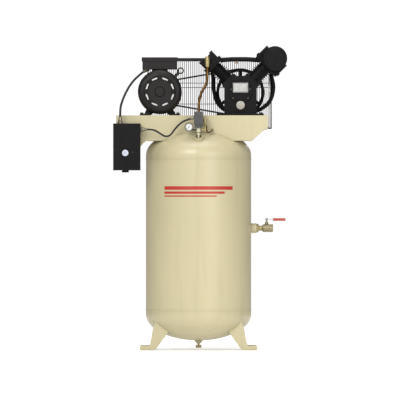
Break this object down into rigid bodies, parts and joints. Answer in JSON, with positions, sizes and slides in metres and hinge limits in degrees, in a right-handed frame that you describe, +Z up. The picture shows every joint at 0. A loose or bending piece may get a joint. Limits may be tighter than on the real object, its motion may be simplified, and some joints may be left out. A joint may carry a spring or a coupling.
{
  "type": "vertical tank compressor",
  "caption": "Stationary air compressor: belt-driven V-twin pump and electric motor on a platform over an upright receiver on bolt-down legs, with starter, switch and outlet valve.",
  "frame": {"origin": "centre of the foot bolt rectangle at floor level, on the tank's axis", "axes": "+Z up along the tank; -Y the front, towards the pressure switch and starter; +X towards the outlet valve"},
  "size_m": [1.005, 0.613, 1.764],
  "materials": {
    "tank_paint": "satin",
    "motor_paint": "satin",
    "pump_paint": "satin paint",
    "guard_paint": "satin",
    "guard_zinc": "zinc wire",
    "manifold_steel": "plated",
    "electrical_steel": "varnished",
    "machined_steel": "machined",
    "bolt_steel": "zinc plated",
    "cast_aluminium": "cast",
    "plate_aluminium": "brushed",
    "copper_tube": "aged",
    "brass_fitting": "cast",
    "valve_brass": "nickel plated",
    "belt_rubber": "matt",
    "cable_rubber": "satin",
    "switch_shell": "matt",
    "starter_paint": "satin",
    "button_plastic": "satin",
    "gauge_paint": "gloss",
    "dial_face": "matt",
    "pointer_paint": "matt paint",
    "sight_lens": "clear over oil",
    "chromed_brass": "polished",
    "grip_vinyl": "faded",
    "gland_metal": "die cast"
  },
  "bodies": {
    "base": {"tank_shell": "tank_paint", "top_head": "tank_paint", "bottom_head": "tank_paint", "legs": "tank_paint", "tank_bungs": "tank_paint", "top_plate": "tank_paint", "starter_bracket": "tank_paint", "motor_frame": "motor_paint", "motor_front_bell": "motor_paint", "motor_rear_bell": "motor_paint", "junction_box": "motor_paint", "junction_box_lid": "motor_paint", "crankcase": "pump_paint", "crankcase_cover": "pump_paint", "low_cylinder": "pump_paint", "high_cylinder": "pump_paint", "low_head": "pump_paint", "high_head": "pump_paint", "valve_plates": "pump_paint", "air_filter": "pump_paint", "intercooler": "pump_paint", "guard_frame": "guard_paint", "guard_mesh": "guard_zinc", "motor_stator": "electrical_steel", "bearings": "machined_steel", "fasteners": "bolt_steel", "lifting_eye": "bolt_steel", "nameplate": "plate_aluminium", "discharge_tube": "copper_tube", "unloader_tube": "copper_tube", "check_valve": "manifold_steel", "pipe_fittings": "brass_fitting", "relief_valve": "brass_fitting", "drain_cock": "brass_fitting", "ball_valve_body": "valve_brass", "drive_belts": "belt_rubber", "motor_cable": "cable_rubber", "switch_cable": "cable_rubber", "pressure_switch": "switch_shell", "starter_box": "starter_paint", "starter_cover": "starter_paint", "gauge_case": "gauge_paint", "gauge_dial": "dial_face", "sight_glass": "sight_lens", "cable_glands": "gland_metal"},
    "crank": {"crankshaft": "machined_steel", "flywheel": "pump_paint"},
    "rotor": {"motor_rotor": "machined_steel", "motor_sheave": "pump_paint"},
    "low_piston_body": {"low_piston": "cast_aluminium"},
    "high_piston_body": {"high_piston": "cast_aluminium"},
    "low_rod_body": {"low_rod": "cast_aluminium"},
    "high_rod_body": {"high_rod": "cast_aluminium"},
    "outlet_lever": {"valve_ball": "chromed_brass", "valve_lever": "machined_steel", "lever_grip": "grip_vinyl"},
    "drain_wing": {"drain_handle": "brass_fitting"},
    "relief_pull": {"relief_ring": "brass_fitting"},
    "pointer": {"gauge_pointer": "pointer_paint"},
    "button": {"reset_button": "button_plastic"}
  },
  "joints": [
    {"name": "crank_spin", "type": "hinge", "parent": "base", "child": "crank", "pos_m": [0.243, 0, 1.495], "axis": [0, 1, 0], "continuous": true},
    {"name": "motor_spin", "type": "hinge", "parent": "base", "child": "rotor", "pos_m": [-0.224, 0, 1.495], "axis": [0, 1, 0], "continuous": true},
    {"name": "low_stroke", "type": "slide", "parent": "base", "child": "low_piston_body", "axis": [0.7071, 0, 0.7071], "range_m": [-0.0498, 0.0102]},
    {"name": "high_stroke", "type": "slide", "parent": "base", "child": "high_piston_body", "axis": [-0.7071, 0, 0.7071], "range_m": [-0.0498, 0.0102]},
    {"name": "low_rod_swing", "type": "hinge", "parent": "low_piston_body", "child": "low_rod_body", "pos_m": [0.37014, 0.002, 1.62214], "axis": [0, 1, 0], "range_deg": [-18.4, 3.1]},
    {"name": "high_rod_swing", "type": "hinge", "parent": "high_piston_body", "child": "high_rod_body", "pos_m": [0.11586, -0.019, 1.62214], "axis": [0, 1, 0], "range_deg": [-3.1, 18.4]},
    {"name": "outlet_turn", "type": "hinge", "parent": "base", "child": "outlet_lever", "pos_m": [0.395, 0, 0.706], "axis": [0, 0, 1], "range_deg": [-90, 0]},
    {"name": "drain_turn", "type": "hinge", "parent": "base", "child": "drain_wing", "pos_m": [0, 0, 0.03], "axis": [0, 0, 1], "range_deg": [0, 180]},
    {"name": "relief_lift", "type": "slide", "parent": "base", "child": "relief_pull", "axis": [0, 0, 1], "range_m": [0, 0.003], "stiffness_N_per_m": 300, "springref_m": -0.002},
    {"name": "pointer_turn", "type": "hinge", "parent": "base", "child": "pointer", "pos_m": [-0.055, -0.265, 1.29], "axis": [0, 1, 0], "range_deg": [0, 270], "stiffness_Nm_per_rad": 0.002, "springref_deg": -2.86},
    {"name": "button_press", "type": "slide", "parent": "base", "child": "button", "axis": [0, 1, 0], "range_m": [0, 0.004], "stiffness_N_per_m": 400, "springref_m": -0.003}
  ],
  "couplings": [
    {"joint": "motor_spin", "follows": "crank_spin", "ratio": 2.3621}
  ]
}
